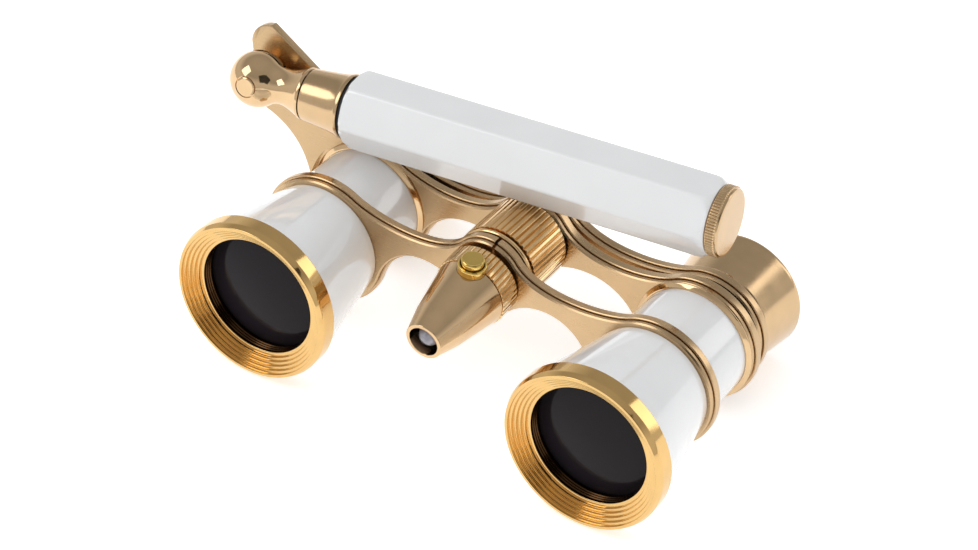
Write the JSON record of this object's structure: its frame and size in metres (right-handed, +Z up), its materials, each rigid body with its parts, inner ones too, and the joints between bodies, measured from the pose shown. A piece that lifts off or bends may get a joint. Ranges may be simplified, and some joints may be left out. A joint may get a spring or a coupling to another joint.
{
  "type": "opera glasses",
  "caption": "Opera glasses with white barrels, gold bridges, a centre focusing wheel, a reading torch and a folding telescopic handle.",
  "frame": {"origin": "middle of the bottom of the bounding box, with the handle folded and the eyepieces in the rest position", "axes": "+X from the hinge side towards the free end of the folded handle, +Y back along the barrels from the objectives to the eyecups, +Z up"},
  "size_m": [0.1222, 0.061, 0.0508],
  "materials": {
    "champagne_gold": "polished and brushed champagne-gold plating",
    "bright_gold": "polished yellow-gold plating",
    "white_enamel": "glossy white enamel",
    "coated_glass": "coated lens glass",
    "black_parts": "matt black",
    "steel_parts": "plain turned steel",
    "led_resin": "clear cast resin"
  },
  "bodies": {
    "frame": {"objective_bezel_left": "champagne_gold", "objective_bezel_right": "champagne_gold", "objective_lens_left": "coated_glass", "objective_lens_right": "coated_glass", "objective_retainer_left": "black_parts", "objective_retainer_right": "black_parts", "flared_shell_left": "white_enamel", "flared_shell_right": "white_enamel", "core_tube_left": "steel_parts", "core_tube_right": "steel_parts", "middle_tube_left": "white_enamel", "middle_tube_right": "white_enamel", "bead_ring_left": "champagne_gold", "bead_ring_right": "champagne_gold", "front_bridge": "champagne_gold", "rear_bridge": "champagne_gold", "torch_shell": "champagne_gold", "torch_ring": "champagne_gold", "torch_led": "led_resin", "led_holder": "black_parts", "battery_sleeve": "black_parts", "button_cell_1": "steel_parts", "button_cell_2": "steel_parts", "button_cell_3": "steel_parts", "battery_spring": "steel_parts", "button_bezel": "bright_gold", "torch_switch": "steel_parts", "hinge_pin": "champagne_gold", "hinge_washer": "steel_parts"},
    "focus_wheel": {"focus_wheel": "champagne_gold", "focus_shaft": "steel_parts"},
    "eyepieces": {"eyepiece_bridge": "champagne_gold", "focus_nut": "champagne_gold", "eyepiece_tube_left": "black_parts", "eyepiece_tube_right": "black_parts", "eyecup_left": "champagne_gold", "eyecup_right": "champagne_gold", "eyepiece_lens_left": "coated_glass", "eyepiece_lens_right": "coated_glass", "eyepiece_retainer_left": "black_parts", "eyepiece_retainer_right": "black_parts"},
    "handle_arm": {"handle_knuckle": "champagne_gold", "handle_stem": "steel_parts", "stem_stop": "black_parts"},
    "handle_sleeve": {"handle_ferrule": "champagne_gold", "ferrule_gasket": "black_parts", "handle_sleeve": "white_enamel", "handle_cap": "champagne_gold"},
    "torch_button": {"torch_button": "bright_gold"}
  },
  "joints": [
    {"name": "focus_turn", "type": "hinge", "parent": "frame", "child": "focus_wheel", "pos_m": [0.00677, 0.00345, 0.0253], "axis": [0, 1, 0], "range_deg": [-90.5, 290.5]},
    {"name": "eyepiece_slide", "type": "slide", "parent": "frame", "child": "eyepieces", "axis": [0, 1, 0], "range_m": [-0.0015, 0.00483]},
    {"name": "handle_fold", "type": "hinge", "parent": "frame", "child": "handle_arm", "pos_m": [-0.05469, 0.0062, 0.03873], "axis": [0.0822, -0.9785, 0.1891], "range_deg": [0, 190]},
    {"name": "handle_extend", "type": "slide", "parent": "handle_arm", "child": "handle_sleeve", "axis": [0.9947, 0.0921, 0.0445], "range_m": [0, 0.055]},
    {"name": "torch_press", "type": "slide", "parent": "frame", "child": "torch_button", "axis": [-0.1045, 0.1022, -0.9893], "range_m": [0, 0.0008], "stiffness_N_per_m": 500, "springref_m": -0.0004}
  ],
  "couplings": [
    {"joint": "focus_turn", "follows": "eyepiece_slide", "rad_per_m": 1047.2}
  ]
}
